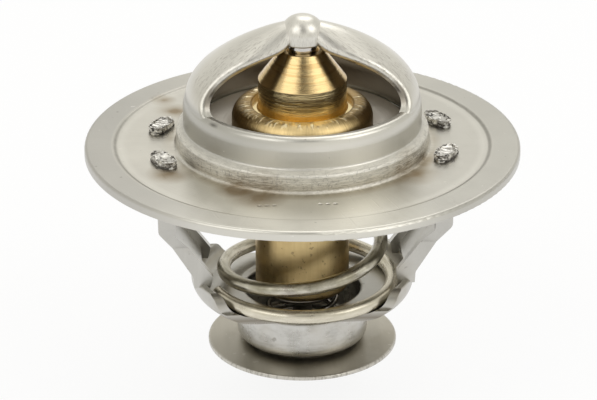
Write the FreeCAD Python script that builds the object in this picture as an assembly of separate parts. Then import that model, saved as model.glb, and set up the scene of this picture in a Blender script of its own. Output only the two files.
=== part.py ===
import FreeCAD, Part
import math
import os

# Engine coolant thermostat with a pressed flange, a bridge over the top and a spring cage below.
# Millimetres, +Z up. The foot of the bypass disc is at z = 0 and the bridge runs along X.

# Flange, collar and bridge: one steel pressing
FLANGE_R = 33.5          # the usual 67 mm flange
SHEET = 1.5              # sheet thickness of the pressing
RIM_W = 4.7              # width of the raised rim land
RIM_STEP = 0.25          # the land stands this much above the flat
COLLAR_R = 19.4
COLLAR_H = 2.5
WALL_R = 18.3            # wall above the collar, outside
WALL_H = 8.0             # lower edge of the windows
SHOULDER_H = 5.0         # the wall starts to lean inwards here
SHOULDER_LEAN = 15       # and leans this many degrees at the windows' edge
LIP_R = 0.9              # rounding of the sheet's outer edge round the windows
FOOT_SINK = 0.6          # the strap's feet reach this far into the wall
CREST_H = 20.7           # top of the nipple above the flange
STRAP_DROP = 0.7         # the strap beside the nipple is this much lower
STRAP_POWER = 1.6        # superellipse power of the arch
STRAP_BEND = 2.9         # radius of the curled section beside the nipple
STRAP_SPREAD = 131       # half the angle the curl covers there
NIPPLE_SPREAD = 105      # and at the nipple
STRAP_FOOT_W = 7.6       # half width of the strap at its feet
NIPPLE_BEND = 1.9        # radius of the curl where it runs into the nipple
NIPPLE_R = 3.4           # nipple formed in the strap, outside
NIPPLE_TOP_R = 3.0       # rounding of its top
NIPPLE_W = 2.5           # the curl gives way to the nipple within this reach
NIPPLE_DEPTH = 4.2       # from the top of the nipple to its mouth
WINDOW_R = 3.0           # rounding of the window corners
WINDOW_SINK = 0.3        # the corners' arcs end this much short of level

# Valve element
PIN_R = 2.2
FIT = 0.05               # running clearance on a radius
GUIDE_R = 6.8
GUIDE_GAP = 1.3          # from the nipple's mouth down to the guide
CONE_H = 4.7             # height of the guide's cone
CONE_TOP_R = 3.25
RIM_R = 10.85            # rolled rim of the capsule
RIM_TOP = 6.5
RIM_HOLE_R = 7.8
CAPSULE_R = 7.3
CAPSULE_FOOT = 24.3      # foot of the capsule below the flange top
BRASS = 0.8              # wall of the capsule
RUBBER = 0.6             # membrane thickness
VALVE_T = 1.0
VALVE_TOP = 2.9          # raised middle of the valve disc above the flange top
VALVE_GAP = 0.3          # gap between the valve disc and the wall around it
SEAT_GAP = 0.03          # metal seat, shut
VALVE_EDGE_R = 0.3

# Main spring
WIRE_R = 1.1
COIL_FOOT_R = 14.3       # radius of the lowest coil to the wire's middle
COIL_NEST_R = 12.25      # radius of the coil that nests inside it
COIL_TOP_R = 10.9

# Spring cage: one steel pressing
CAGE_T = 1.2
CAGE_FLOOR = 24.3        # top face of the cage floor below the flange top
CAGE_HALF = 11.6         # half width of the floor, front to back
CAGE_WALL_R = 16.2       # inside of the upturned wings
WING_TOP = 21.3          # top of the wings below the flange top
WING_HALF = 10.8
NECK_R = 10.2            # drawn neck around the capsule's foot
NECK_FOOT = 32.8         # end of the neck below the flange top
NECK_MOUTH_R = 7.9
CAGE_BEND_R = 1.9        # inner bend between floor and wings
ARM_X = 21.9             # middle of the arm's upper tab
ARM_T = 1.3
ARM_BEND = 11.4          # lower end of the upright tab
ARM_FOOT = 20.0          # lower end of the slanted part
ARM_TOP_HALF = 8.9
ARM_LOW_HALF = 6.0
LIP = 1.3                # how far the arm's edges are turned inwards
LUG_Y = 6.65
LUG_W = 4.3
HEAD_L = 5.5
HEAD_W = 2.8
HEAD_H = 0.8
HEAD_LEAN = 0.4          # the heads are hammered over towards the middle
HEAD_TWIST = 30          # and twisted out of line with their slots

# Bypass valve
DISC_R = 14.8
DISC_T = 0.7
DISC_GAP = 0.4           # between the disc and the end of the cage's neck
RECESS_R = 3.4           # coined recess that takes the stem's head
RECESS_H = 0.35
STEM_R = 1.5
STEM_HEAD_R = 2.9
SMALL_WIRE_R = 0.45
SMALL_COIL_R = 5.3
SMALL_TURNS = 4.5

UP = FreeCAD.Vector(0, 0, 1)
ORIGIN = FreeCAD.Vector(0, 0, 0)
FLANGE_Z = NECK_FOOT + DISC_GAP + DISC_T
STRAP_H = CREST_H - STRAP_DROP
SOCKET_H = CREST_H - NIPPLE_DEPTH
GUIDE_TOP = SOCKET_H - GUIDE_GAP
CONE_BASE = GUIDE_TOP - CONE_H
LEAN = math.tan(math.radians(SHOULDER_LEAN))
KNEE_H = (SHOULDER_H + WALL_H) / 2
TOP_R = WALL_R - (WALL_H - KNEE_H) * LEAN
COLLAR_HOLE_R = COLLAR_R - SHEET
WALL_HOLE_R = WALL_R - SHEET
LAND_R = FLANGE_R - RIM_W
FLAT_Z = -RIM_STEP
UNDER_Z = FLAT_Z - SHEET
SEAT_LOW = COLLAR_H - 0.9
SEAT_TOP = COLLAR_H
FLANGE_SEAT_Z = RIM_TOP - 0.9
GUIDE_FOOT = VALVE_TOP + BRASS + RUBBER
PLUG_L = 2.5
DISC_TOP = DISC_T - FLANGE_Z
DISC_UNDER = -FLANGE_Z
RECESS_Z = DISC_UNDER + RECESS_H
SOCKET_TOP = CREST_H - 1.8


def vec(x, y, z):
    return FreeCAD.Vector(x, y, z)


def profile(corners):
    # Closed wire in the XZ plane; each corner is (x, z, rounding).
    spots = [(vec(x, 0, z), r) for x, z, r in corners]
    edges = []
    starts = []
    ends = []
    for i, (p, r) in enumerate(spots):
        before = (spots[i - 1][0] - p).normalize()
        after = (spots[(i + 1) % len(spots)][0] - p).normalize()
        if r == 0:
            starts.append(p)
            ends.append(p)
            continue
        half = before.getAngle(after) / 2
        reach = r / math.tan(half)
        a = p + before * reach
        b = p + after * reach
        middle = (before + after).normalize()
        crown = p + middle * (r / math.sin(half) - r)
        edges.append(Part.Arc(a, crown, b).toShape())
        starts.append(a)
        ends.append(b)
    for i in range(len(spots)):
        a = ends[i - 1]
        b = starts[i]
        if a.distanceToPoint(b) > 1e-6:
            edges.append(Part.makeLine(a, b))
    return Part.Wire(Part.__sortEdges__(edges))


def turned(corners):
    return Part.Face(profile(corners)).revolve(ORIGIN, UP, 360)


def column(r, low, high):
    return Part.makeCylinder(r, high - low, vec(0, 0, low))


def block(x0, x1, y0, y1, z0, z1):
    return Part.makeBox(x1 - x0, y1 - y0, z1 - z0, vec(x0, y0, z0))


def half_turned(shape):
    copy = shape.copy()
    copy.rotate(ORIGIN, UP, 180)
    return copy


def helix_wire(point_at, turns, step, wire_r):
    # Round wire swept along a spring curve given by point_at(turn).
    count = int(turns / step) + 1
    points = [point_at(turns * i / (count - 1)) for i in range(count)]
    curve = Part.BSplineCurve()
    curve.interpolate(points)
    path = Part.Wire(curve.toShape())
    ring = Part.Wire(Part.makeCircle(wire_r, points[0], points[1] - points[0]))
    return path.makePipeShell([ring], True, True)


def smooth(t):
    t = min(max(t, 0.0), 1.0)
    return t * t * (3 - 2 * t)


def cup():
    # Flange, collar, seat step and wall in one turned profile.
    inner_step = [
        (TOP_R - SHEET, WALL_H, 0.2),
        (WALL_HOLE_R, KNEE_H, 4.0),
        (WALL_HOLE_R, SEAT_TOP, 0.3),
        (COLLAR_HOLE_R, SEAT_LOW, 0.3),
        (COLLAR_HOLE_R, UNDER_Z, 1.0),
        (LAND_R - RIM_STEP, UNDER_Z, 0.3),
        (LAND_R + RIM_STEP, -SHEET, 0.3),
    ]
    outer = [
        (FLANGE_R, -SHEET, 0.2),
        (FLANGE_R, 0, 0.5),
        (LAND_R + RIM_STEP, 0, 0.3),
        (LAND_R - RIM_STEP, FLAT_Z, 0.3),
        (COLLAR_R, FLAT_Z, 0.5),
        (COLLAR_R, COLLAR_H, 0.45),
        (WALL_R, COLLAR_H + 0.7, 0.4),
        (WALL_R, KNEE_H, 4.0),
        (TOP_R, WALL_H, LIP_R),
    ]
    return turned(inner_step + outer)


def crown(t):
    # Ridge of the bridge at angle t of the arch, 0 at the middle and 90 at the right foot.
    s = math.sin(math.radians(abs(t)))
    c = max(math.cos(math.radians(abs(t))), 0)
    x = TOP_R * s ** (2 / STRAP_POWER)
    z = WALL_H + (STRAP_H - WALL_H) * c ** (2 / STRAP_POWER)
    return vec(math.copysign(x, t), 0, z)


def yielding(x):
    # Share by which the curl gives way to the nipple at a distance x from the middle.
    return math.exp(-(x / NIPPLE_W) ** 2)


def foot_flare(height):
    # Extra half width of the strap near its foot, the round corner of the window.
    level = height + WINDOW_SINK
    if level >= WINDOW_R:
        return 0
    return WINDOW_R - math.sqrt(WINDOW_R ** 2 - (WINDOW_R - level) ** 2)


def strap_section(t, sink=0):
    # Curled section of the strap at angle t, tipped outwards in step with its place on the ridge.
    top = crown(t)
    share = abs(top.x) / TOP_R
    tip = math.radians(90 * share)
    out = vec(math.copysign(math.sin(tip), t), 0, math.cos(tip))
    bend = STRAP_BEND + (TOP_R - STRAP_BEND) * share ** 2
    foot_spread = math.degrees(math.asin(STRAP_FOOT_W / TOP_R))
    spread = foot_spread + (STRAP_SPREAD - foot_spread) * (1 - share) ** 1.9
    spread += (NIPPLE_SPREAD - STRAP_SPREAD) * yielding(top.x)
    bend -= (STRAP_BEND - NIPPLE_BEND) * yielding(top.x)
    spread = math.radians(spread) + foot_flare(top.z - WALL_H) / bend
    centre = top - out * bend - UP * sink
    bend += sink * LEAN - (0.05 if sink else 0)
    inner = bend - SHEET
    core = bend - LIP_R
    turn = math.asin(LIP_R / core)
    seam = core * math.cos(turn)

    def at(radius, angle):
        return centre + out * (radius * math.cos(angle)) + vec(0, radius * math.sin(angle), 0)

    def lip(side):
        # Rounded outer edge, from the outer face to the cut face.
        crest = at(core, side * (spread - turn))
        half = side * (spread - turn / 2 + math.pi / 4)
        middle = crest + out * (LIP_R * math.cos(half)) + vec(0, LIP_R * math.sin(half), 0)
        return Part.Arc(at(bend, side * (spread - turn)), middle, at(seam, side * spread)).toShape()

    over = Part.Arc(at(bend, turn - spread), at(bend, 0), at(bend, spread - turn)).toShape()
    under = Part.Arc(at(inner, spread), at(inner, 0), at(inner, -spread)).toShape()
    right = Part.makeLine(at(seam, spread), at(inner, spread))
    left = Part.makeLine(at(inner, -spread), at(seam, -spread))
    return Part.Wire([over, lip(1), right, under, left, lip(-1)])


def strap():
    half = [7, 13, 20, 30, 42, 54, 65, 74, 81, 86, 90]
    angles = [-t for t in reversed(half)] + [0] + half
    sections = [strap_section(t) for t in angles]
    feet = [strap_section(t, FOOT_SINK) for t in (-90, 90)]
    return Part.makeLoft(feet[:1] + sections + feet[1:], True, False)


def nipple():
    return turned([
        (0, SOCKET_H, 0),
        (NIPPLE_R, SOCKET_H, 0.3),
        (NIPPLE_R, CREST_H, NIPPLE_TOP_R),
        (0, CREST_H, 0),
    ])


def flange_bridge():
    body = cup().fuse(strap()).fuse(nipple())
    socket = column(PIN_R + FIT, SOCKET_H - SHEET, SOCKET_TOP)
    body = body.cut(socket)
    slots = [lug(side, y, FIT) for side in (-1, 1) for y in (-LUG_Y, LUG_Y)]
    return body.cut(Part.makeCompound(slots))


def lug(side, y, gap):
    x = side * ARM_X
    half_t = ARM_T / 2 + gap
    half_w = LUG_W / 2 + gap
    return block(x - half_t, x + half_t, y - half_w, y + half_w, UNDER_Z - 0.5, FLAT_Z)


def lug_head(side, y):
    # The lug's end twisted and hammered out to an oval button on the flange.
    x = side * (ARM_X - HEAD_LEAN)
    head = Part.Ellipse(vec(x, y, FLAT_Z), HEAD_L / 2, HEAD_W / 2).toShape()
    top = Part.Ellipse(vec(x, y, FLAT_Z + HEAD_H), HEAD_L / 2 - 0.35, HEAD_W / 2 - 0.35).toShape()
    twist = math.copysign(HEAD_TWIST, side * y)
    for ring in (head, top):
        ring.rotate(vec(x, y, 0), UP, 90 + twist)
    return Part.makeLoft([Part.Wire(head), Part.Wire(top)], True, True)


def cage_bowl():
    # Floor with its drawn neck and the upturned wall, before the sides are cut away.
    floor = -CAGE_FLOOR
    low = floor - CAGE_T
    neck_hole = NECK_R - CAGE_T
    bowl = turned([
        (NECK_MOUTH_R, -NECK_FOOT, 0.3),
        (NECK_R, -NECK_FOOT, 1.5),
        (NECK_R, low, 1.6),
        (CAGE_WALL_R + CAGE_T, low, CAGE_BEND_R + CAGE_T),
        (CAGE_WALL_R + CAGE_T, -WING_TOP, 0.3),
        (CAGE_WALL_R, -WING_TOP, 0.3),
        (CAGE_WALL_R, floor, CAGE_BEND_R),
        (neck_hole, floor, 1.0),
        (neck_hole, -NECK_FOOT + CAGE_T, 0.4),
        (NECK_MOUTH_R, -NECK_FOOT + CAGE_T, 0.3),
    ])
    reach = CAGE_WALL_R + CAGE_T + 1
    keep = block(-reach, reach, -CAGE_HALF, CAGE_HALF, -NECK_FOOT - 1, floor + 0.4)
    return bowl.common(keep.fuse([wing_outline(), half_turned(wing_outline())]))


def wing_outline():
    # Rounded outline of the right wing, seen along X.
    low = -CAGE_FLOOR - 0.5
    wing = block(0, CAGE_WALL_R + 3, -WING_HALF, WING_HALF, low, -WING_TOP + 0.1)
    tops = [e for e in wing.Edges if abs(e.BoundBox.ZMin + WING_TOP - 0.1) < 1e-6 and e.BoundBox.YLength < 1e-6]
    return wing.makeFillet(2.6, tops)


def arm_side(depth):
    # Side view of the right arm as a bent strip; depth is its thickness towards the middle.
    outer = ARM_X + ARM_T / 2
    foot_x = CAGE_WALL_R + CAGE_T - 0.2
    lean = math.atan2(outer - foot_x, ARM_FOOT - ARM_BEND)
    back = depth / math.cos(lean)
    turn = depth * math.tan(lean / 2)
    corners = [
        (outer, UNDER_Z, 0),
        (outer, -ARM_BEND, 2.0),
        (foot_x, -ARM_FOOT, 1.0),
        (foot_x - 0.1, -ARM_FOOT - 1.8, 0),
        (foot_x - depth, -ARM_FOOT - 1.8, 0),
        (foot_x - back, -ARM_FOOT, 0.6),
        (outer - depth, -ARM_BEND - turn, 1.0),
        (outer - depth, UNDER_Z, 0),
    ]
    return Part.Face(profile(corners))


def arm_plate(depth, inset):
    # Bent strip cut to the arm's outline, which narrows below the upper tab.
    width = ARM_TOP_HALF + 1
    strip = arm_side(depth)
    strip.translate(vec(0, -width, 0))
    strip = strip.extrude(vec(0, 2 * width, 0))
    top = ARM_TOP_HALF - inset
    low = ARM_LOW_HALF - inset
    shoulder = ARM_BEND - 1.0
    spots = [
        (-top, UNDER_Z), (-top, -shoulder), (-low, -shoulder - 4.5), (-low, -ARM_FOOT - 2.5),
        (low, -ARM_FOOT - 2.5), (low, -shoulder - 4.5), (top, -shoulder), (top, UNDER_Z),
    ]
    points = [vec(ARM_X - 9, y, z) for y, z in spots]
    outline = Part.Face(Part.makePolygon(points + points[:1])).extrude(vec(12, 0, 0))
    return strip.common(outline)


def arm():
    # The edges of the strip are turned inwards as stiffening lips.
    web = arm_plate(ARM_T, 0)
    lips = arm_plate(ARM_T + LIP, 0).cut(arm_plate(ARM_T + LIP + 1, ARM_T))
    return web.fuse(lips)


def spring_cage():
    right = arm()
    body = cage_bowl().fuse([right, half_turned(right)])
    for side in (-1, 1):
        for y in (-LUG_Y, LUG_Y):
            body = body.fuse(lug(side, y, 0))
            body = body.fuse(lug_head(side, y))
    return body.removeSplitter()


def valve_disc():
    hole = CAPSULE_R + FIT
    rim = COLLAR_HOLE_R - VALVE_GAP
    rise = WALL_HOLE_R - VALVE_GAP
    slope = math.atan2(SEAT_TOP - SEAT_LOW, COLLAR_HOLE_R - WALL_HOLE_R)
    inset = COLLAR_HOLE_R - (rim - VALVE_EDGE_R)
    stand_off = (VALVE_EDGE_R + SEAT_GAP) / math.cos(slope)
    low = SEAT_LOW + inset * math.tan(slope) - stand_off + VALVE_EDGE_R
    return turned([
        (hole, VALVE_TOP - VALVE_T, 0.15),
        (rise - VALVE_T, VALVE_TOP - VALVE_T, 0.3),
        (rise - VALVE_T + 0.2, low - VALVE_T, 0.3),
        (rim, low - VALVE_T, 0.3),
        (rim, low, VALVE_EDGE_R),
        (rise, low, 0.2),
        (rise, VALVE_TOP, 0.6),
        (hole, VALVE_TOP, 0.15),
    ])


def wax_capsule():
    well = CAPSULE_R - BRASS
    foot = -CAPSULE_FOOT
    rim_hole = RIM_R - BRASS - 0.15
    body = turned([
        (0, foot, 0),
        (CAPSULE_R, foot, 0.8),
        (CAPSULE_R, VALVE_TOP, 0),
        (RIM_R, VALVE_TOP, 0.3),
        (RIM_R, RIM_TOP, 2.2),
        (RIM_HOLE_R, RIM_TOP, 0.3),
        (RIM_HOLE_R, FLANGE_SEAT_Z, 0),
        (rim_hole, FLANGE_SEAT_Z, 0.6),
        (rim_hole, VALVE_TOP + BRASS, 0),
        (well, VALVE_TOP + BRASS, 0.2),
        (well, foot + 2.3, 0.5),
        (0, foot + 2.3, 0),
    ])
    return body.cut(column(STEM_R, foot, foot + 1.6))


def wax_charge():
    well = CAPSULE_R - BRASS
    return turned([
        (0, -CAPSULE_FOOT + 2.3, 0),
        (well, -CAPSULE_FOOT + 2.3, 0.5),
        (well, VALVE_TOP + BRASS, 0.2),
        (0, VALVE_TOP + BRASS, 0),
    ])


def diaphragm():
    return column(RIM_R - BRASS - 0.15, VALVE_TOP + BRASS, GUIDE_FOOT)


def guide():
    bore = PIN_R + FIT
    return turned([
        (bore, GUIDE_FOOT, 0),
        (RIM_R - BRASS - 0.15, GUIDE_FOOT, 0),
        (RIM_R - BRASS - 0.15, FLANGE_SEAT_Z, 0.6),
        (GUIDE_R, FLANGE_SEAT_Z, 0.3),
        (GUIDE_R, CONE_BASE, 0.3),
        (CONE_TOP_R, GUIDE_TOP, 0.25),
        (bore + 0.3, GUIDE_TOP, 0.1),
        (bore, GUIDE_TOP - 0.5, 0),
    ])


def plug():
    return column(PIN_R + FIT / 2, GUIDE_FOOT, GUIDE_FOOT + PLUG_L)


def backing_disc():
    return column(PIN_R, GUIDE_FOOT + PLUG_L, GUIDE_FOOT + PLUG_L + 0.4)


def piston_pin():
    foot = GUIDE_FOOT + PLUG_L + 0.4
    return turned([
        (0, foot, 0),
        (PIN_R, foot, 0.2),
        (PIN_R, SOCKET_TOP, 0.4),
        (0, SOCKET_TOP, 0),
    ])


def main_spring():
    # Right-hand cone: the lowest coil lies flat, the next one nests inside it, the last closes on the valve.
    foot = -CAGE_FLOOR + WIRE_R
    top = VALVE_TOP - VALVE_T - WIRE_R
    nest = 1.5

    def at(turn):
        angle = math.radians(200) + 2 * math.pi * turn
        r = COIL_FOOT_R + (COIL_NEST_R - COIL_FOOT_R) * smooth((turn - 0.3) / 0.7)
        r += (COIL_TOP_R - COIL_NEST_R) * smooth((turn - 1.3) / 1.4)
        z = foot + nest * smooth((turn - 0.35) / 0.8)
        z += (top - foot - nest) * smooth((turn - 0.75) / 2.2)
        return vec(r * math.cos(angle), r * math.sin(angle), z)

    return helix_wire(at, 3.5, 1 / 16, WIRE_R)


def bypass_stem():
    foot = DISC_UNDER + FIT
    return turned([
        (0, foot, 0),
        (STEM_HEAD_R, foot, 0.1),
        (STEM_HEAD_R, RECESS_Z, 0.1),
        (STEM_R, RECESS_Z, 0),
        (STEM_R, -CAPSULE_FOOT + 1.6, 0),
        (0, -CAPSULE_FOOT + 1.6, 0),
    ])


def bypass_disc():
    hole = STEM_R + FIT
    return turned([
        (hole, RECESS_Z, 0.05),
        (RECESS_R, RECESS_Z, 0.05),
        (RECESS_R, DISC_UNDER, 0.1),
        (DISC_R, DISC_UNDER, 0.15),
        (DISC_R, DISC_TOP, 0.25),
        (hole, DISC_TOP, 0.05),
    ])


def bypass_spring():
    low = DISC_TOP + SMALL_WIRE_R
    high = -CAPSULE_FOOT - SMALL_WIRE_R
    turns = SMALL_TURNS

    def at(turn):
        angle = 2 * math.pi * turn
        share = smooth((turn - 0.3) / (turns - 0.6))
        return vec(SMALL_COIL_R * math.cos(angle), SMALL_COIL_R * math.sin(angle), low + (high - low) * share)

    return helix_wire(at, turns, 1 / 12, SMALL_WIRE_R)


parts = {
    "flange_bridge": flange_bridge(),
    "spring_cage": spring_cage(),
    "main_spring": main_spring(),
    "valve_disc": valve_disc(),
    "wax_capsule": wax_capsule(),
    "wax_charge": wax_charge(),
    "diaphragm": diaphragm(),
    "rubber_plug": plug(),
    "backing_disc": backing_disc(),
    "guide": guide(),
    "piston_pin": piston_pin(),
    "bypass_stem": bypass_stem(),
    "bypass_spring": bypass_spring(),
    "bypass_disc": bypass_disc(),
}

os.makedirs("parts", exist_ok=True)
for name, shape in parts.items():
    shape.translate(vec(0, 0, FLANGE_Z))
    shape.exportStep("parts/" + name + ".step")
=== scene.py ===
import math

import bpy
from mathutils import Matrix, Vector


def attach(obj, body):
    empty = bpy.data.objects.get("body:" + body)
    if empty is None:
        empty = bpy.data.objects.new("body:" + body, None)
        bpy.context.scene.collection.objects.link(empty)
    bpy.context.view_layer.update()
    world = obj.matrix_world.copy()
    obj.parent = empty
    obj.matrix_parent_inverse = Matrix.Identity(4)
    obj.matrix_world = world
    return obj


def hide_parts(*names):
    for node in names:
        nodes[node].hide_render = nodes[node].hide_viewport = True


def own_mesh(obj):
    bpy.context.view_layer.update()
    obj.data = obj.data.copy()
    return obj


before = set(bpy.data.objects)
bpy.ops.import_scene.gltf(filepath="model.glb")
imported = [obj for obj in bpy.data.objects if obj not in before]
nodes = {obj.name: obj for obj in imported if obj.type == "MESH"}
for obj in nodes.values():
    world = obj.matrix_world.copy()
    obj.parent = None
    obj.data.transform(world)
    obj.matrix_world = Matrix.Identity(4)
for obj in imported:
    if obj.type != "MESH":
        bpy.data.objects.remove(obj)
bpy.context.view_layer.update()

# Flange, collar and bridge. One pressing of stainless steel sheet, blanked, deep drawn and pierced
# with two windows. Drawing leaves a satin skin, a rubbed band on the collar's shoulder, and brown
# lubricant at its foot and beside the lugs. The bridge's nipple is punched up to take the pin.
flange_top = 0.0339
flat_z = 0.03365
collar_r = 0.0194
collar_foot_r = 0.0203
window_foot = 0.0080
rim_line_r = 0.0288
flat_start_r = 0.0199
collar_middle = 0.0014
collar_top = 0.0030
lip_foot = 0.0083
lip_inner_r = 0.0150
strap_foot = 0.0105
strap_sheen_foot = 0.0125
brown_spots = [
    ((-0.0080, -0.0200, flat_z), 0.0050),
    ((-0.0115, -0.0170, flat_z), 0.0032),
    ((-0.0203, -0.0105, flat_z), 0.0042),
    ((0.0160, -0.0128, flat_z), 0.0046),
    ((0.0172, -0.0078, flat_z), 0.0030),
    ((-0.0195, 0.0135, flat_z), 0.0034),
    ((-0.0210, 0.0180, flat_z), 0.0024),
    ((0.0132, -0.0135, 0.0350), 0.0010),
]
nick = (-0.0144, -0.0113, 0.0416)
punch_y = -0.0231
punch_starts = (-0.0078, 0.0012)
punch_steps = (0, 0.0011, 0.0022)
punch_dots = [(start + step, punch_y, flat_z) for start in punch_starts for step in punch_steps]
punch_dot_r = 0.00042


class Reading:
    # A socket's value inside one node tree, so that masks are written as sums and products.
    def __init__(self, tree, socket):
        self.tree = tree
        self.socket = socket

    def maths(self, operation, *others, clamp=False):
        step = self.tree.nodes.new("ShaderNodeMath")
        step.operation = operation
        step.use_clamp = clamp
        for number, value in enumerate((self,) + others):
            if isinstance(value, Reading):
                self.tree.links.new(value.socket, step.inputs[number])
            else:
                step.inputs[number].default_value = value
        return Reading(self.tree, step.outputs[0])

    def __add__(self, other):
        return self.maths("ADD", other)

    __radd__ = __add__

    def __mul__(self, other):
        return self.maths("MULTIPLY", other)

    __rmul__ = __mul__

    def __sub__(self, other):
        return self.maths("SUBTRACT", other)

    def __rsub__(self, other):
        return -self + other

    def __truediv__(self, other):
        return self.maths("DIVIDE", other)

    def __neg__(self):
        return self.maths("MULTIPLY", -1.0)

    def __abs__(self):
        return self.maths("ABSOLUTE")

    def held(self):
        return self.maths("ADD", 0.0, clamp=True)

    def above(self, edge, softness):
        # 0 below the edge, 1 above it, with a ramp of that softness between.
        return ((self - edge) / softness + 0.5).held()

    def below(self, edge, softness):
        return 1 - self.above(edge, softness)

    def near(self, middle, reach):
        # 1 at the middle, falling to 0 at that reach on either side.
        return (1 - abs(self - middle) / reach).held()


class Nodes:
    # A node tree, with one way to add a node.
    def __init__(self, tree):
        self.tree = tree

    def node(self, kind, settings, inputs, output=0):
        made = self.tree.nodes.new("ShaderNode" + kind)
        for name, value in settings.items():
            setattr(made, name, value)
        for name, value in inputs.items():
            if isinstance(value, Reading):
                self.tree.links.new(value.socket, made.inputs[name])
            else:
                made.inputs[name].default_value = value
        return Reading(self.tree, made.outputs[output])

    def parts(self, vector):
        return [self.node("SeparateXYZ", {}, {"Vector": vector}, axis) for axis in "XYZ"]

    def feed(self, reading, socket):
        self.tree.links.new(reading.socket, socket)


class Finish(Nodes):
    # One material: a Principled shader and the nodes that vary it over the surface.
    def __init__(self, name, metallic, roughness):
        self.material = bpy.data.materials.new(name)
        self.material.use_nodes = True
        super().__init__(self.material.node_tree)
        self.shader = self.tree.nodes["Principled BSDF"]
        self.shader.inputs["Metallic"].default_value = metallic
        self.shader.inputs["Roughness"].default_value = roughness
        self.spot = self.node("TexCoord", {}, {}, "Object")

    def place(self):
        # x, y, z, the radius from the axis and the unit direction away from it.
        x, y, z = self.parts(self.spot)
        radius = (x * x + y * y).maths("SQRT").maths("MAXIMUM", 1e-5)
        return x, y, z, radius, x / radius, y / radius

    def at(self, centre, reach):
        # 1 at a point, falling to 0 at that reach.
        away = self.node("VectorMath", {"operation": "DISTANCE"}, {0: self.spot, 1: centre}, "Value")
        return (1 - away / reach).held()

    def noise(self, x, y, z, detail=3.0, roughness=0.55):
        spot = self.node("CombineXYZ", {}, {"X": x, "Y": y, "Z": z})
        sizes = {"Vector": spot, "Scale": 1.0, "Detail": detail, "Roughness": roughness}
        return self.node("TexNoise", {}, sizes)

    def blend(self, share, first, second):
        # Colour between two colours, each a triple or a colour reading.
        inputs = {0: share}
        for number, colour in ((6, first), (7, second)):
            inputs[number] = colour if isinstance(colour, Reading) else (*colour, 1.0)
        return self.node("Mix", {"data_type": "RGBA"}, inputs, 2)

    def colour(self, reading):
        self.feed(reading, self.shader.inputs["Base Color"])

    def rough(self, reading):
        self.feed(reading, self.shader.inputs["Roughness"])

    def relief(self, height, depth):
        # Height in units of the given depth, in metres, felt as a bump.
        bump = self.node("Bump", {}, {"Height": height, "Distance": depth, "Strength": 1.0})
        self.feed(bump, self.shader.inputs["Normal"])


def dress(name, finish):
    # The CAD solid takes the finish as its only material.
    solid = nodes[name]
    solid.data.materials.clear()
    solid.data.materials.append(finish.material)


pressed = Finish("drawn stainless sheet", 1.0, 0.32)
x, y, z, radius, east, north = pressed.place()
height = z - flange_top
on_flange = radius.above(flat_start_r, 0.0010)
on_land = radius.above(rim_line_r + 0.0004, 0.0006)
on_wall = height.above(collar_top, 0.0006) * height.below(window_foot + 0.0005, 0.0010)
satin = pressed.noise(x * 260, y * 260, z * 260, detail=4.0)
patches = pressed.noise(x * 62, y * 62, z * 62, roughness=0.6)
clouds = pressed.noise(x * 24 + 3.1, y * 24, z * 24, detail=2.0)
streaks = pressed.noise(east * 34, north * 34, radius * 90, detail=4.0, roughness=0.65)
rings = pressed.noise(east * 2.2, north * 2.2, (radius + z) * 2600, detail=2.0)
draw_lines = pressed.noise(east * 75, north * 75, z * 120, detail=4.0, roughness=0.7)
scuffs = pressed.noise(east * 12, north * 12, z * 5200, detail=5.0, roughness=0.75)
blotches = pressed.noise(east * 46, north * 46, z * 1500, detail=4.0, roughness=0.7)
specks = pressed.noise(x * 950, y * 950, z * 950, detail=2.0, roughness=0.5)
scratches = pressed.noise(x * 900 + y * 300, y * 70 - x * 23, z * 70, detail=3.0, roughness=0.7)
shoulder = height.near(collar_middle, 0.0026) * radius.near(collar_r - 0.0002, 0.0018)
foot = radius.near(collar_foot_r, 0.0014) * height.below(0.0010, 0.0006)
brown = sum(pressed.at(centre, reach) for centre, reach in brown_spots)
brown = (brown * 1.3 * patches.above(0.42, 0.25) * (0.4 + satin)).held()
nicked = pressed.at(nick, 0.0012) * z.near(nick[2], 0.00035)
punched = sum(pressed.at(dot, punch_dot_r) for dot in punch_dots).held()
facing = pressed.parts(pressed.node("NewGeometry", {}, {}, "Normal"))
inward = (-(facing[0] * east + facing[1] * north)).above(0.25, 0.3)
inside = inward * height.above(collar_top, 0.0004)
sideways = abs(facing[0] * north - facing[1] * east)
lip_painted_shade = sideways.above(0.75, 0.2) * height.above(lip_foot, 0.0006)
lip_painted_shade = lip_painted_shade * radius.above(lip_inner_r, 0.0010)
rim_step_shade = radius.near(rim_line_r, 0.00045) * on_flange
# Painted shade masks: the left and right sides of the flange, its land and the collar wall are painted
# darker.
left_painted_shade = (-east - north * 0.2).above(0.30, 0.9)
right_painted_shade = (east - north * 0.1).above(0.45, 0.5)
# Painted highlight mask: the front of the flange.
front_painted_sheen = (-north).above(0.60, 0.4) * abs(east + 0.1).below(0.55, 0.3)
strap_front = height.above(strap_foot, 0.0015) * (-y).above(0.0012, 0.0020)
strap_wear = strap_front * blotches.above(0.55, 0.10) * draw_lines.above(0.45, 0.2)
ring_of_light = radius.near(rim_line_r - 0.0010, 0.0009) * on_flange

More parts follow.
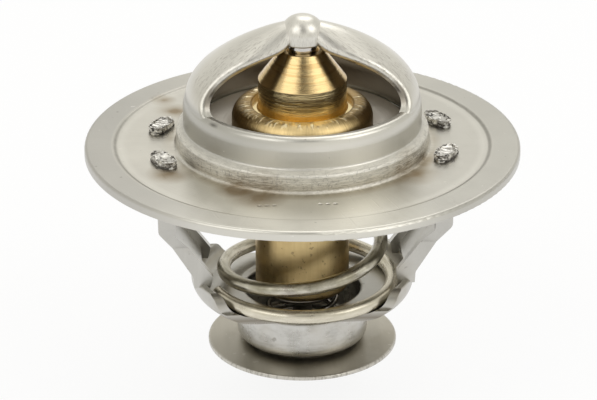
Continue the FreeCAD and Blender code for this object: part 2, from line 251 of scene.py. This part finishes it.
colour = pressed.blend(streaks * 0.5 + satin * 0.3, (0.575, 0.555, 0.495), (0.72, 0.695, 0.63))
# Painted highlight: the front of the collar wall is painted lighter.
colour = pressed.blend(on_wall * (-north).above(0.55, 0.7) * 0.65, colour, (0.90, 0.87, 0.79))
# Painted shade on the left and right of the collar wall.
colour = pressed.blend(on_wall * (left_painted_shade + right_painted_shade * 0.5).held() * 0.8, colour, (0.42, 0.41, 0.37))
# Painted highlight: the upper part of the bridge is painted lighter, above a given height.
painted_strap_sheen = height.above(strap_sheen_foot, 0.0040) * (0.40 + draw_lines * 0.3)
colour = pressed.blend(painted_strap_sheen, colour, (0.84, 0.82, 0.76))
colour = pressed.blend(strap_wear * 0.55, colour, (0.36, 0.33, 0.29))
colour = pressed.blend(patches.above(0.58, 0.2) * on_flange * 0.35, colour, (0.49, 0.46, 0.41))
# Painted shade on the left of the land, mottled, and on the right of the land and flange.
colour = pressed.blend(on_land * left_painted_shade * (0.35 + clouds * 0.5), colour, (0.42, 0.41, 0.385))
colour = pressed.blend(right_painted_shade * (on_land * 0.3 + on_flange * 0.4).held(), colour, (0.48, 0.47, 0.43))
# Painted highlight: the front of the flange is painted lighter.
colour = pressed.blend(front_painted_sheen * on_flange * 0.4, colour, (0.84, 0.82, 0.74))
colour = pressed.blend(ring_of_light * 0.4, colour, (0.74, 0.72, 0.66))
# Painted shade: a dark line along the step round the land, streaked.
colour = pressed.blend(rim_step_shade * (0.35 + streaks * 0.6), colour, (0.22, 0.21, 0.185))
colour = pressed.blend(foot * patches.above(0.44, 0.2) * 0.6, colour, (0.34, 0.28, 0.18))
colour = pressed.blend(brown * 0.8, colour, (0.24, 0.17, 0.085))
colour = pressed.blend(shoulder * scuffs.above(0.50, 0.12) * 0.9, colour, (0.86, 0.83, 0.75))
colour = pressed.blend(shoulder * scuffs.below(0.42, 0.08) * 0.45, colour, (0.34, 0.32, 0.28))
colour = pressed.blend(shoulder * blotches.above(0.60, 0.06) * 0.6, colour, (0.26, 0.25, 0.23))
colour = pressed.blend(specks.above(0.755, 0.03) * 0.4, colour, (0.85, 0.83, 0.78))
colour = pressed.blend(specks.below(0.25, 0.04) * 0.5, colour, (0.25, 0.235, 0.20))
# Painted shade: the inner faces of the dome and the sides of the window lips are painted dark.
colour = pressed.blend((inside + lip_painted_shade * 0.8).held() * 0.85, colour, (0.17, 0.14, 0.105))
colour = pressed.blend((nicked * 1.6).held() * 0.8 + punched * 0.35, colour, (0.12, 0.11, 0.10))
pressed.colour(colour)
pressed.rough(0.25 + satin * 0.10 + streaks * 0.06 + brown * 0.2 + shoulder * 0.12 - on_wall * 0.02)
worked = shoulder * (scuffs * 2.0 + blotches * 1.2) + on_flange * (rings * 0.25 + streaks * 0.3)
worked = worked + satin * 0.25 + draw_lines * on_wall * 0.25
worked = worked + scratches.above(0.66, 0.06) * on_flange * 0.25
pressed.relief(worked - nicked * 1.5 - punched * 3.0, 0.00006)
dress("flange_bridge", pressed)

# Spring cage. A second stainless pressing with a drawn neck, two upturned wings and two arms. Each
# arm ends in two lugs that go through slots in the flange and are twisted and hammered over there.
neck_top_z = 0.0093
cage_floor_z = 0.0090
cage_front_y = -0.0085
cage = Finish("brushed stainless sheet", 1.0, 0.30)
x, y, z, radius, east, north = cage.place()
grain = cage.noise(x * 700, y * 700, z * 70, roughness=0.6)
soft = cage.noise(x * 120, y * 120, z * 120)
smears = cage.noise(east * 3, north * 3, z * 560, detail=4.0, roughness=0.6)
chips = cage.noise(x * 600, y * 600, z * 600, detail=3.0, roughness=0.6)
neck = z.below(neck_top_z, 0.0010)
floor_front_painted_shade = z.near(cage_floor_z, 0.0012) * y.below(cage_front_y, 0.0010)
turning = cage.noise(east * 3, north * 3, z * 3000, detail=2.0)
colour = cage.blend(grain * 0.5 + soft * 0.4, (0.43, 0.42, 0.385), (0.65, 0.635, 0.595))
colour = cage.blend(soft.above(0.60, 0.14) * 0.4, colour, (0.38, 0.34, 0.26))
colour = cage.blend(neck * smears.above(0.48, 0.25) * 0.4, colour, (0.70, 0.69, 0.665))
colour = cage.blend(neck * smears.below(0.42, 0.15) * 0.3, colour, (0.30, 0.29, 0.265))
colour = cage.blend(chips.above(0.70, 0.05) * 0.45, colour, (0.20, 0.18, 0.15))
# Painted shade: the front lip of the cage floor is painted dark.
colour = cage.blend(floor_front_painted_shade, colour, (0.25, 0.225, 0.185))
cage.colour(colour)
cage.rough(0.28 + grain * 0.12 - neck * 0.10 + smears * neck * 0.10)
rubbed = grain * 0.5 + soft * 0.5 + neck * (turning * 0.4 + smears * 0.5)
cage.relief(rubbed - chips.above(0.70, 0.05) * 0.4, 0.00005)
dress("spring_cage", cage)

# The four lug ends above the flange. The punch twists each one and leaves it serrated across, with
# torn edges. Painted shade darkens the troughs, pits and the gap round each end; painted highlights
# light the crests.
lug_spot = (0.0215, 0.00665)
lug_twist = 30
lug_size = (0.00300, 0.00570, 0.00125)
lug_low = 0.03350
serration_rows = 18
serration_slant = 0.35
serration_depth = 0.26
gap_shade_z = 0.0340

bpy.ops.object.select_all(action="DESELECT")
bpy.ops.mesh.primitive_cube_add(size=1.0)
head = bpy.context.active_object
head.name = "twisted_lug_1"
bpy.ops.object.mode_set(mode="EDIT")
bpy.ops.mesh.select_all(action="SELECT")
bpy.ops.mesh.subdivide(number_cuts=serration_rows - 1)
bpy.ops.object.mode_set(mode="OBJECT")
rounding = head.modifiers.new("oval outline", "CAST")
rounding.cast_type = "CYLINDER"
rounding.factor = 0.72
rounding.use_z = False
bpy.ops.object.modifier_apply(modifier=rounding.name)
bpy.context.tool_settings.mesh_select_mode = (True, False, False)
for part in (head.data.edges, head.data.polygons):
    for item in part:
        item.select = False
for point in head.data.vertices:
    row = round((point.co.y + serration_slant * point.co.x + 1) * serration_rows)
    point.select = point.co.z > 0.49 and row % 3 == 0
bpy.ops.object.mode_set(mode="EDIT")
bpy.ops.transform.translate(value=(0, 0, -serration_depth))
bpy.ops.object.mode_set(mode="OBJECT")
tearing = bpy.data.textures.new("torn edge", "CLOUDS")
tearing.noise_scale = 0.17
tearing.noise_depth = 2
torn = head.modifiers.new("torn edge", "DISPLACE")
torn.texture = tearing
torn.strength = 0.16
torn.mid_level = 0.5
bpy.ops.object.modifier_apply(modifier=torn.name)
head.scale = [wanted / span for wanted, span in zip(lug_size, head.dimensions)]
bpy.ops.object.transform_apply(location=False, rotation=False, scale=True)

peened = Finish("peened lug ends", 1.0, 0.30)
x, y, z, radius, east, north = peened.place()
chips = peened.noise(x * 1500, y * 1500, z * 1500, detail=4.0, roughness=0.7)
pits_and_painted_shade = peened.noise(x * 900 + 5, y * 900, z * 900, detail=2.0)
serration_and_painted_light = peened.noise(x * 260, y * 2100, z * 900, detail=3.0, roughness=0.6)
low = z.below(gap_shade_z, 0.0004)
# Painted shade in the serration troughs and painted highlights on the crests, following the serration
# relief.
colour = peened.blend(serration_and_painted_light.above(0.48, 0.22), (0.17, 0.155, 0.135), (0.92, 0.90, 0.85))
colour = peened.blend(chips.above(0.60, 0.1) * 0.5, colour, (0.55, 0.53, 0.49))
# Painted shade in the pits.
colour = peened.blend(pits_and_painted_shade.above(0.62, 0.05) * 0.85, colour, (0.05, 0.045, 0.04))
# Painted shade at the foot of each lug end, in the gap round it.
colour = peened.blend(low * 0.9, colour, (0.08, 0.07, 0.06))
peened.colour(colour)
peened.rough(0.20 + chips * 0.2 + low * 0.3)
peened.relief(serration_and_painted_light * 1.2 + chips * 0.8 - pits_and_painted_shade.above(0.62, 0.1), 0.00014)

blank = head.data.copy()
for number, (side, far) in enumerate([(-1, -1), (-1, 1), (1, -1), (1, 1)], 1):
    if number > 1:
        head = head.copy()
        head.data = blank.copy()
        head.name = "twisted_lug_" + str(number)
        bpy.context.collection.objects.link(head)
    bpy.ops.object.select_all(action="DESELECT")
    head.select_set(True)
    bpy.context.view_layer.objects.active = head
    head.rotation_euler = (0, 0, math.radians(lug_twist * side * far))
    head.location = (side * lug_spot[0], far * lug_spot[1], lug_low + lug_size[2] / 2)
    bpy.ops.object.transform_apply(location=True, rotation=True, scale=True)
    head.data.materials.clear()
    head.data.materials.append(peened.material)
    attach(head, "housing")
bpy.data.meshes.remove(blank)

# Main spring. A cone of round stainless wire, coiled cold. The die leaves the wire dark and olive,
# with lengthwise drawing marks, and brighter where the coils rub.
rubbed_coil_z = 0.0130
wire = Finish("drawn spring wire", 1.0, 0.30)
x, y, z, radius, east, north = wire.place()
along = wire.noise(east * 5, north * 5, radius * 2400 + z * 1300, roughness=0.6)
tarnish = wire.noise(x * 180, y * 180, z * 180)
nibs = wire.noise(x * 800, y * 800, z * 800, detail=2.0)
colour = wire.blend(along.above(0.50, 0.35), (0.26, 0.24, 0.19), (0.70, 0.67, 0.57))
colour = wire.blend(tarnish.above(0.52, 0.2) * 0.5, colour, (0.34, 0.31, 0.21))
colour = wire.blend(tarnish.below(0.38, 0.1) * 0.4, colour, (0.23, 0.18, 0.19))
colour = wire.blend(nibs.above(0.72, 0.04) * 0.5, colour, (0.12, 0.10, 0.08))
colour = wire.blend(z.below(rubbed_coil_z, 0.0020) * 0.55, colour, (0.86, 0.80, 0.66))
wire.colour(colour)
wire.rough(0.17 + along * 0.14 + tarnish * 0.10)
wire.relief(along * 1.6 + nibs * 0.3, 0.00003)


def yielding_wire(name, finish, body):
    # The coiled wire as one closed mesh, carried by the body that holds its end.
    bpy.ops.object.select_all(action="DESELECT")
    coil = bpy.data.objects.new(name + "_coil", nodes[name].data.copy())
    bpy.context.collection.objects.link(coil)
    coil.select_set(True)
    bpy.context.view_layer.objects.active = coil
    bpy.ops.object.mode_set(mode="EDIT")
    bpy.ops.mesh.select_all(action="SELECT")
    bpy.ops.mesh.remove_doubles(threshold=0.000002)
    bpy.ops.object.mode_set(mode="OBJECT")
    bpy.ops.object.shade_smooth_by_angle(angle=math.radians(40))
    coil.data.materials.clear()
    coil.data.materials.append(finish.material)
    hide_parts(name)
    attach(coil, body)
    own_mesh(coil)


yielding_wire(
    "main_spring", wire, "housing"
)

# Valve disc. Stainless sheet pressed to a shallow cup, pushed on the capsule against its rolled
# rim. It seats on the step inside the collar.
capsule_seat_r = 0.0112
valve = Finish("pressed valve plate", 1.0, 0.34)
x, y, z, radius, east, north = valve.place()
rings = valve.noise(east * 2, north * 2, radius * 2400, detail=2.0)
dull = valve.noise(x * 190, y * 190, z * 190)
colour = valve.blend(dull, (0.44, 0.415, 0.365), (0.66, 0.625, 0.56))
colour = valve.blend(radius.near(capsule_seat_r, 0.0012) * 0.5, colour, (0.24, 0.20, 0.15))
valve.colour(colour)
valve.rough(0.30 + dull * 0.14)
valve.relief(rings * 0.6 + dull * 0.4, 0.00004)
dress("valve_disc", valve)

# Wax capsule. Deep drawn brass cup whose mouth is rolled over the guide's flange; the rolling tool
# leaves short marks round the rim's crown. The body below is dull from handling.
crown_r = 0.0089
rim_foot = 0.0029
capsule = Finish("rolled capsule brass", 1.0, 0.30)
x, y, z, radius, east, north = capsule.place()
height = z - flange_top
rim = height.above(rim_foot, 0.0004)
ripples = capsule.noise(east * 40, north * 40, radius * 200 + z * 200, roughness=0.6)
tool_marks = capsule.noise(east * 17, north * 17, radius * 500, detail=2.0).above(0.56, 0.08)
crown = radius.near(crown_r, 0.0012) * rim
drawn = capsule.noise(east * 16, north * 16, z * 90, detail=4.0, roughness=0.65)
dull = capsule.noise(x * 210, y * 210, z * 210)
fingers = capsule.noise(x * 75, y * 75, z * 110, detail=4.0, roughness=0.6)
fine = capsule.noise(x * 1300, y * 1300, z * 1300, detail=2.0)
colour = capsule.blend(drawn * 0.6 + dull * 0.3, (0.50, 0.37, 0.175), (0.82, 0.65, 0.34))
colour = capsule.blend(fingers.above(0.55, 0.15) * 0.55, colour, (0.42, 0.29, 0.13))
colour = capsule.blend(fine.above(0.68, 0.06) * 0.5, colour, (0.16, 0.11, 0.06))
bright = capsule.blend(ripples.above(0.5, 0.35), (0.42, 0.29, 0.12), (0.68, 0.50, 0.235))
# Painted light on the rolled rim: its front is painted brighter as a highlight, its sides and back
# darker as shade.
front_painted_highlight = (-north).above(0.60, 0.7)
bright = capsule.blend(front_painted_highlight * 0.55, bright, (0.90, 0.70, 0.36))
bright = capsule.blend((1 - front_painted_highlight) * 0.7, bright, (0.29, 0.19, 0.07))
bright = capsule.blend(crown * tool_marks, bright, (1.0, 0.88, 0.60))
bright = capsule.blend(crown * fine.above(0.60, 0.08) * 0.5, bright, (0.30, 0.19, 0.08))
capsule.colour(capsule.blend(rim, colour, bright))
capsule.rough(0.29 + dull * 0.12 - rim * 0.02 + crown * 0.06)
marks = ripples * rim * 0.9 + crown * (tool_marks * 2.6 + fine) + drawn * (1 - rim) * 0.5
capsule.relief(marks + dull * 0.2 + fingers * 0.3, 0.00008)
dress("wax_capsule", capsule)

# The filling: wax mixed with copper powder, a rubber membrane over it, a rubber plug that presses
# on the pin and a thin hard disc between them. All are shut inside the capsule and the guide.
wax = Finish("copper filled wax", 0.0, 0.55)
x, y, z, radius, east, north = wax.place()
grains = wax.node("TexVoronoi", {}, {"Vector": wax.spot, "Scale": 5200.0})
wax.colour(wax.blend(grains.above(0.35, 0.2), (0.55, 0.27, 0.13), (0.62, 0.50, 0.30)))
wax.relief(grains, 0.00003)
dress("wax_charge", wax)

membrane = Finish("black membrane rubber", 0.0, 0.60)
x, y, z, radius, east, north = membrane.place()
bloom = membrane.noise(x * 300, y * 300, z * 300)
membrane.colour(membrane.blend(bloom, (0.018, 0.018, 0.018), (0.05, 0.05, 0.048)))
membrane.relief(bloom, 0.00003)
dress("diaphragm", membrane)

soft_plug = Finish("plug rubber", 0.0, 0.55)
x, y, z, radius, east, north = soft_plug.place()
bloom = soft_plug.noise(x * 500, y * 500, z * 200)
soft_plug.colour(soft_plug.blend(bloom, (0.03, 0.028, 0.026), (0.075, 0.07, 0.065)))
soft_plug.relief(bloom, 0.00003)
dress("rubber_plug", soft_plug)

backing = Finish("white fluoroplastic", 0.0, 0.40)
x, y, z, radius, east, north = backing.place()
skive = backing.noise(x * 150, y * 1500, z * 300)
backing.colour(backing.blend(skive, (0.74, 0.73, 0.70), (0.84, 0.83, 0.80)))
backing.relief(skive, 0.00002)
dress("backing_disc", backing)

# Guide. Turned from free-cutting brass bar with a cone top. The lathe tool leaves fine rings, and
# the pin slides in its bore.
cone_base = 0.0104
lathe = Finish("turned guide brass", 1.0, 0.20)
x, y, z, radius, east, north = lathe.place()
fine = lathe.noise(east * 0.9, north * 0.9, z * 6200 + radius * 900, roughness=0.7)
broad = lathe.noise(east * 0.4, north * 0.4, z * 1900, detail=1.0)
handled = lathe.noise(x * 260, y * 260, z * 260)
colour = lathe.blend(fine * 0.6 + broad * 0.5, (0.56, 0.39, 0.17), (0.79, 0.61, 0.32))
colour = lathe.blend(broad.above(0.60, 0.06) * 0.45, colour, (0.46, 0.27, 0.09))
colour = lathe.blend(handled.above(0.58, 0.15) * 0.3, colour, (0.52, 0.36, 0.16))
# Painted light: the barrel below the cone is painted a much brighter brass.
barrel_painted_light = z.below(flange_top + cone_base, 0.0003)
colour = lathe.blend(barrel_painted_light * 0.9, colour, (1.0, 0.82, 0.45))
lathe.colour(colour)
lathe.rough(0.11 + fine * 0.10 + handled * 0.05)
lathe.relief(fine * 0.7 + broad, 0.00006)
dress("guide", lathe)

# Piston pin. Ground and polished stainless rod. It stands in the bridge's socket and stays there
# while the capsule moves down along it.
ground = Finish("ground stainless pin", 1.0, 0.12)
x, y, z, radius, east, north = ground.place()
grinding = ground.noise(east * 2, north * 2, z * 6500, detail=2.0)
ground.colour(ground.blend(grinding, (0.52, 0.50, 0.47), (0.70, 0.68, 0.65)))
ground.rough(0.10 + grinding * 0.10)
ground.relief(grinding, 0.00001)
dress("piston_pin", ground)

# Bypass valve: a turned stem pressed into the capsule's foot, a small spring round it and a plain
# blanked disc that hangs on the stem's head.
disc_edge_r = 0.0146
stem = Finish("turned stem steel", 1.0, 0.28)
x, y, z, radius, east, north = stem.place()
rings = stem.noise(east * 2, north * 2, z * 4800 + radius * 2400, detail=2.0)
stem.colour(stem.blend(rings, (0.42, 0.40, 0.37), (0.62, 0.60, 0.56)))
stem.relief(rings, 0.00003)
dress("bypass_stem", stem)

small_wire = Finish("small spring wire", 1.0, 0.26)
x, y, z, radius, east, north = small_wire.place()
along = small_wire.noise(east * 5, north * 5, radius * 4200 + z * 2600, detail=2.0)
small_wire.colour(small_wire.blend(along, (0.30, 0.285, 0.25), (0.50, 0.475, 0.43)))
small_wire.relief(along, 0.00002)
yielding_wire(
    "bypass_spring", small_wire, "element",
)

blanked = Finish("blanked disc steel", 1.0, 0.30)
x, y, z, radius, east, north = blanked.place()
rolled = blanked.noise(x * 900, y * 55, z * 300, roughness=0.6)
rubbed = blanked.noise(x * 110, y * 110, z * 110)
shear_marks = blanked.noise(east * 38, north * 38, z * 900)
dust = blanked.noise(x * 900, y * 900, z * 900, detail=2.0)
at_edge = radius.above(disc_edge_r, 0.0003)
colour = blanked.blend(rolled * 0.6 + rubbed * 0.3, (0.37, 0.345, 0.29), (0.53, 0.50, 0.43))
colour = blanked.blend(rubbed.above(0.60, 0.12) * 0.35, colour, (0.30, 0.265, 0.20))
colour = blanked.blend(dust.above(0.70, 0.04) * 0.5, colour, (0.62, 0.60, 0.55))
# Painted highlight: the disc's edge is painted lighter.
colour = blanked.blend(at_edge * 0.8, colour, (0.60, 0.58, 0.53))
blanked.colour(blanked.blend(at_edge * shear_marks.above(0.55, 0.1) * 0.6, colour, (0.30, 0.28, 0.24)))
blanked.rough(0.27 + rubbed * 0.12)
blanked.relief(rolled * 0.4 + rubbed * 0.4 + at_edge * shear_marks, 0.00005)
dress("bypass_disc", blanked)

# The studio: a plain pale floor, a soft and slightly warm light tent with a dark card above the
# camera, and three large lamps. The floor lies low enough to leave the open valve's travel free.
floor_z = -0.0086
floor_colour = (0.93, 0.93, 0.925)
floor_colour_2 = (0.94, 0.94, 0.935)
floor_glow = 0.86
tent_level = 0.85
tent_belt_loss = 0.12
tent_top_gain = 0.12
card_half_width = 0.36
card_offset = 0.06
card_foot = 0.56
card_dimming = 0.85
tent_green_loss = 0.012
tent_blue_loss = 0.065
lamp_aim = (0.0, 0.0, 0.03)
camera_spot = (-0.0296, -0.4579, 0.2325)
camera_aim = (-0.0006, 0.0, 0.0239)
camera_lens = 196.0

bpy.ops.object.select_all(action="DESELECT")
bpy.ops.mesh.primitive_circle_add(vertices=64, radius=3.0, fill_type="NGON", location=(0, 0, floor_z))
floor = bpy.context.active_object
floor.name = "studio_floor"
paper = Finish("pale floor", 0.0, 0.8)
x, y, z, radius, east, north = paper.place()
paper.colour(paper.blend(paper.noise(x * 30, y * 30, z * 30), floor_colour, floor_colour_2))
kinds = ("Is Camera Ray", "Is Glossy Ray", "Is Transmission Ray")
rays = [paper.node("LightPath", {}, {}, kind) for kind in kinds]
seen = rays[0].maths("MAXIMUM", rays[1]).maths("MAXIMUM", rays[2]) * floor_glow
glow = paper.node("Emission", {}, {"Color": (1.0, 1.0, 1.0, 1.0), "Strength": 1.0})
lit = Reading(paper.tree, paper.shader.outputs["BSDF"])
mixed = paper.node("MixShader", {}, {0: seen, 1: lit, 2: glow})
paper.feed(mixed, paper.tree.nodes["Material Output"].inputs["Surface"])
bpy.ops.object.transform_apply(location=True, rotation=True, scale=True)
floor.data.materials.append(paper.material)

sky = bpy.data.worlds.new("light tent")
bpy.context.scene.world = sky
sky.use_nodes = True
tent = Nodes(sky.node_tree)
across, along, up = tent.parts(tent.node("TexCoord", {}, {}, "Generated"))
card = (-along * card_half_width - abs(across + card_offset)).above(0.0, 0.05)
card = card * up.above(card_foot, 0.15)
level = tent_level - up.near(0.60, 0.40) * tent_belt_loss + up.above(0.90, 0.20) * tent_top_gain
level = level * (1 - card * card_dimming)
from_camera = tent.node("LightPath", {}, {}, "Is Camera Ray")
level = level * (1 - from_camera) + from_camera
warmth = 1 - from_camera
green = level * (1 - warmth * tent_green_loss)
blue = level * (1 - warmth * tent_blue_loss)
tent_colour = tent.node("CombineColor", {}, {"Red": level, "Green": green, "Blue": blue})
background = sky.node_tree.nodes["Background"]
tent.feed(tent_colour, background.inputs["Color"])
background.inputs["Strength"].default_value = 1.0


def turn_towards(thing, aim):
    away = thing.location - Vector(aim)
    thing.rotation_euler = away.to_track_quat("Z", "Y").to_euler()


def lamp(name, place, size, power):
    bpy.ops.object.light_add(type="AREA", location=place)
    made = bpy.context.active_object
    made.name = name
    made.data.shape = "RECTANGLE"
    made.data.size, made.data.size_y = size
    made.data.energy = power
    turn_towards(made, lamp_aim)


lamp("key lamp", (-0.50, -0.50, 0.75), (0.70, 0.70), 1.6)
lamp("side lamp", (0.74, -0.40, 0.82), (0.70, 0.70), 2.0)
lamp("back lamp", (0.16, 0.65, 0.85), (0.60, 0.60), 1.45)

bpy.ops.object.camera_add(location=camera_spot)
camera = bpy.context.active_object
camera.name = "camera"
camera.data.sensor_width = 36.0
camera.data.lens = camera_lens
camera.data.clip_start = 0.01
camera.data.clip_end = 10.0
turn_towards(camera, camera_aim)
bpy.context.scene.camera = camera
bpy.context.scene.view_settings.view_transform = "Standard"
